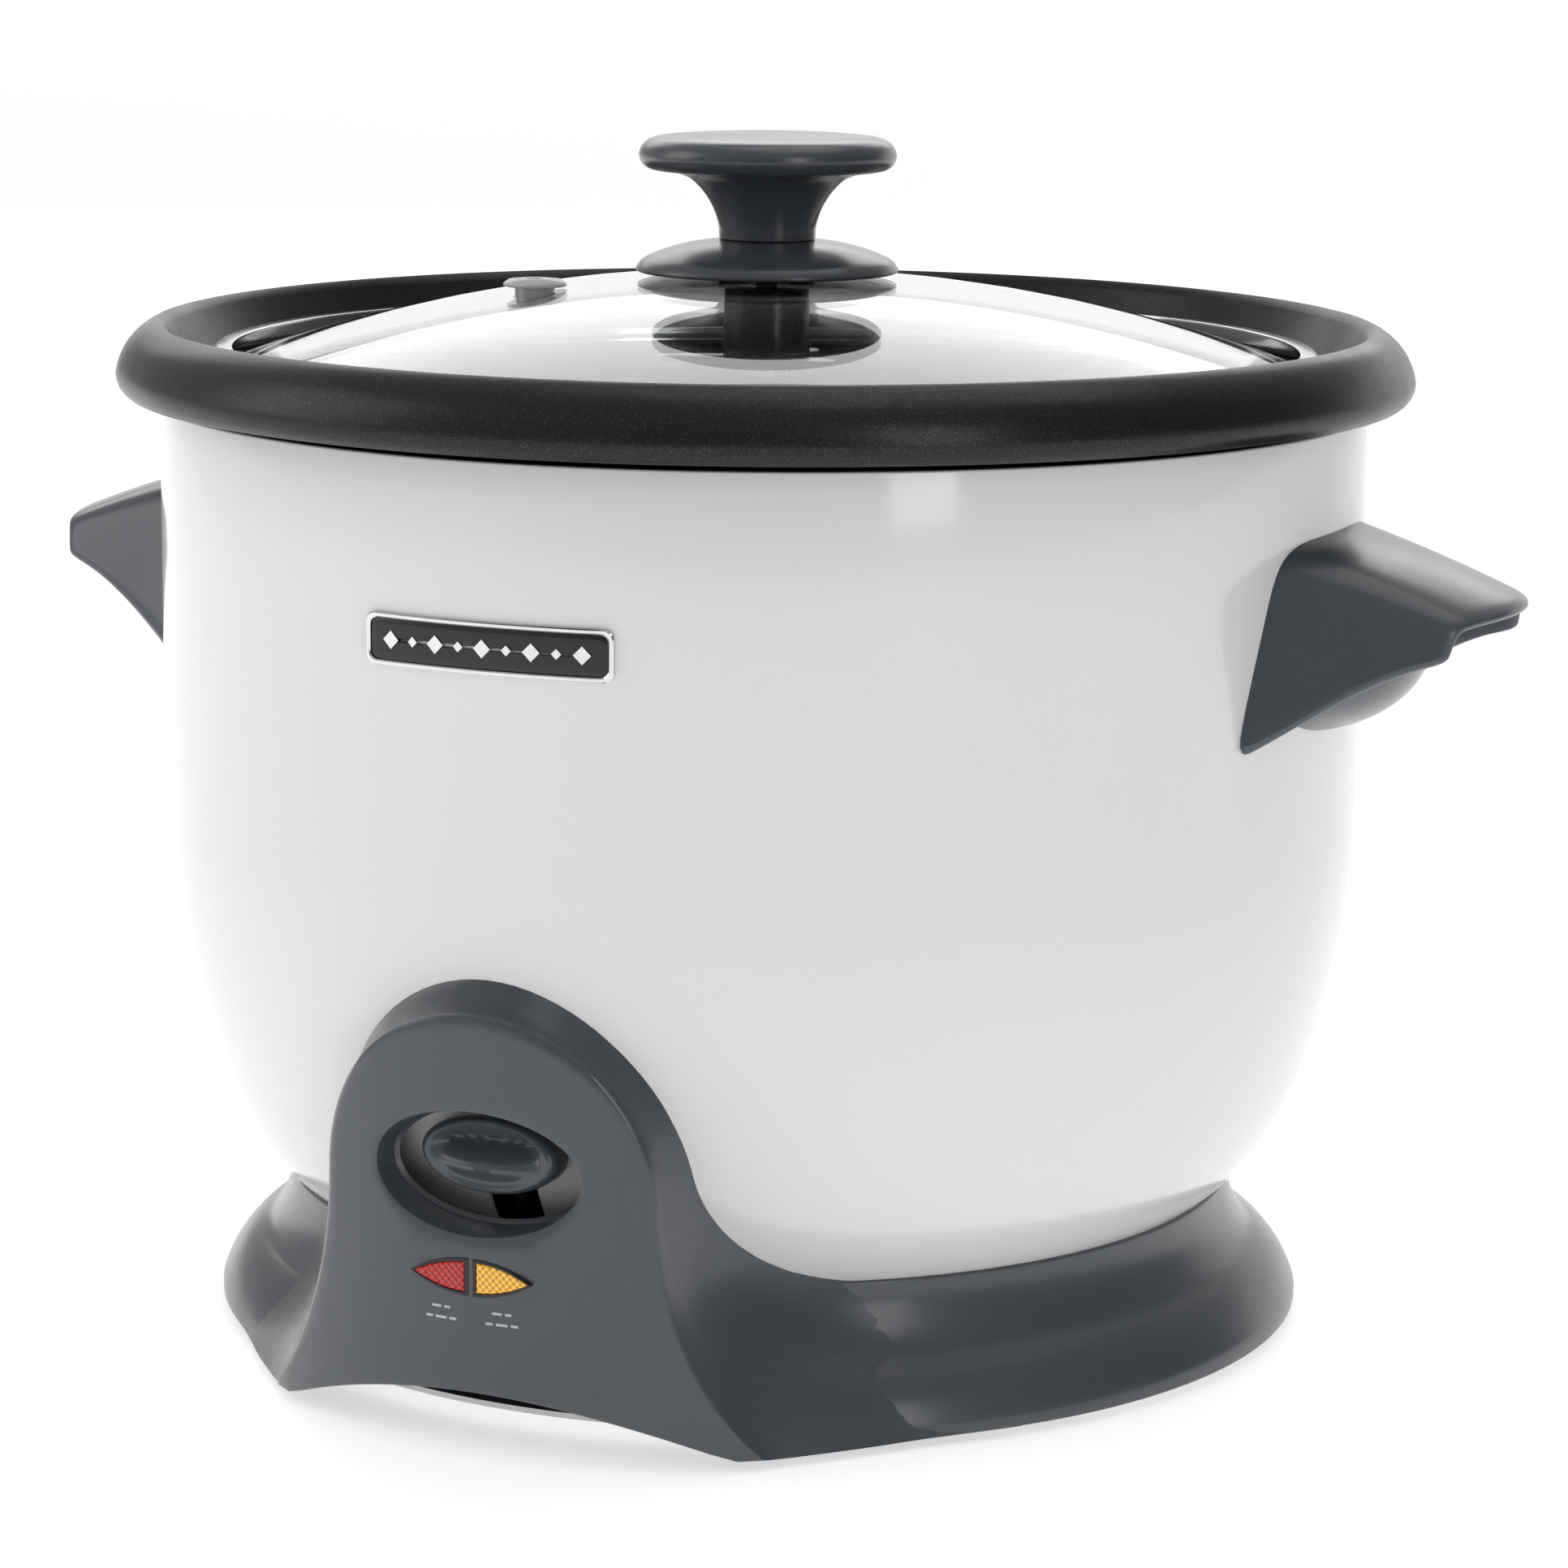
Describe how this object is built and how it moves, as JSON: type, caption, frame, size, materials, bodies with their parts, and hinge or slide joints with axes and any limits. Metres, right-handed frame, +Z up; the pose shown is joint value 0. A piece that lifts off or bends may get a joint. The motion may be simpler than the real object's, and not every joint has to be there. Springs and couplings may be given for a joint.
{
  "type": "rice cooker",
  "caption": "Automatic rice cooker: round enamelled body on a flared base with a front lever panel, lift-out pot with a broad rolled rim, domed glass lid with knob, two side handles.",
  "frame": {"origin": "on the table under the middle of the body, at the centre of the bounding box's base", "axes": "+Z up; the control panel faces -Y; the handles lie along X"},
  "size_m": [0.352, 0.288, 0.264],
  "materials": {
    "shell_enamel": "gloss white enamel",
    "slate_plastic": "gloss slate grey",
    "nonstick": "dark non-stick coating with a metallic fleck",
    "lid_glass": "clear toughened glass",
    "bright_steel": "polished",
    "liner_steel": "satin",
    "cast_alloy": "as cast, satin face",
    "sheath_metal": "heat-darkened",
    "fixings": "zinc plated",
    "ferrite": "dull",
    "rubber": "matt",
    "vent_silicone": "translucent",
    "lens_red": "prismatic",
    "lens_amber": "prismatic",
    "bezel_black": "gloss",
    "lamp_glass": "clear",
    "inner_plastic": "matt",
    "fuse_sleeve": "matt",
    "terminals": "bright"
  },
  "bodies": {
    "base": {"badge_frame": "bright_steel", "badge_plate": "bezel_black", "base_housing": "slate_plastic", "base_screws": "fixings", "block_screws": "fixings", "bottom_cover": "liner_steel", "cord_gland": "rubber", "cover_screws": "fixings", "element_terminals": "terminals", "feet": "rubber", "guide_bridge": "liner_steel", "handle_left": "slate_plastic", "handle_right": "slate_plastic", "handle_screws": "fixings", "heating_element": "sheath_metal", "heating_plate": "cast_alloy", "inner_liner": "liner_steel", "lamp_cook": "lamp_glass", "lamp_holder": "inner_plastic", "lamp_warm": "lamp_glass", "lead_wires": "fuse_sleeve", "lens_bezels": "bezel_black", "lens_cook": "lens_red", "lens_warm": "lens_amber", "lever_bracket": "liner_steel", "lever_pin": "fixings", "lever_spring": "fixings", "magnet_guide": "liner_steel", "microswitch": "inner_plastic", "outer_shell": "shell_enamel", "plate_screws": "fixings", "plate_standoffs": "fixings", "sensor_spring": "fixings", "terminal_block": "inner_plastic", "thermal_fuse": "fuse_sleeve", "warm_heater": "inner_plastic"},
    "lid": {"lid_glass": "lid_glass", "lid_band": "bright_steel", "lid_knob": "slate_plastic", "knob_flange": "slate_plastic", "knob_gasket": "rubber", "wing_nut": "slate_plastic", "knob_screw": "fixings", "vent_grommet": "vent_silicone"},
    "pot": {"inner_pot": "nonstick"},
    "lever": {"lever_arm": "liner_steel", "lever_tab": "slate_plastic"},
    "magnet": {"lower_magnet": "ferrite", "magnet_rod": "fixings"},
    "sensor": {"sensor_cup": "cast_alloy", "upper_magnet": "ferrite"},
    "plunger": {"switch_plunger": "inner_plastic"}
  },
  "joints": [
    {"name": "pot_lift", "type": "slide", "parent": "base", "child": "pot", "axis": [0, 0, 1], "range_m": [0, 0.2]},
    {"name": "lid_lift", "type": "slide", "parent": "pot", "child": "lid", "axis": [0, 0, 1], "range_m": [0, 0.1]},
    {"name": "cook_lever", "type": "hinge", "parent": "base", "child": "lever", "pos_m": [0, -0.062, 0.03], "axis": [1, 0, 0], "range_deg": [0, 4.5], "stiffness_Nm_per_rad": 0.8, "springref_deg": -8.59},
    {"name": "magnet_rise", "type": "slide", "parent": "base", "child": "magnet", "axis": [0, 0, 1], "range_m": [0, 0.0051]},
    {"name": "plunger_follow", "type": "slide", "parent": "base", "child": "plunger", "axis": [0, 0, 1], "range_m": [0, 0.0016]},
    {"name": "sensor_rise", "type": "slide", "parent": "base", "child": "sensor", "axis": [0, 0, 1], "range_m": [0, 0.0021]}
  ],
  "couplings": [
    {"joint": "magnet_rise", "follows": "cook_lever", "m_per_rad": 0.062},
    {"joint": "plunger_follow", "follows": "cook_lever", "m_per_rad": 0.018},
    {"joint": "sensor_rise", "follows": "pot_lift", "ratio": 0.01}
  ]
}
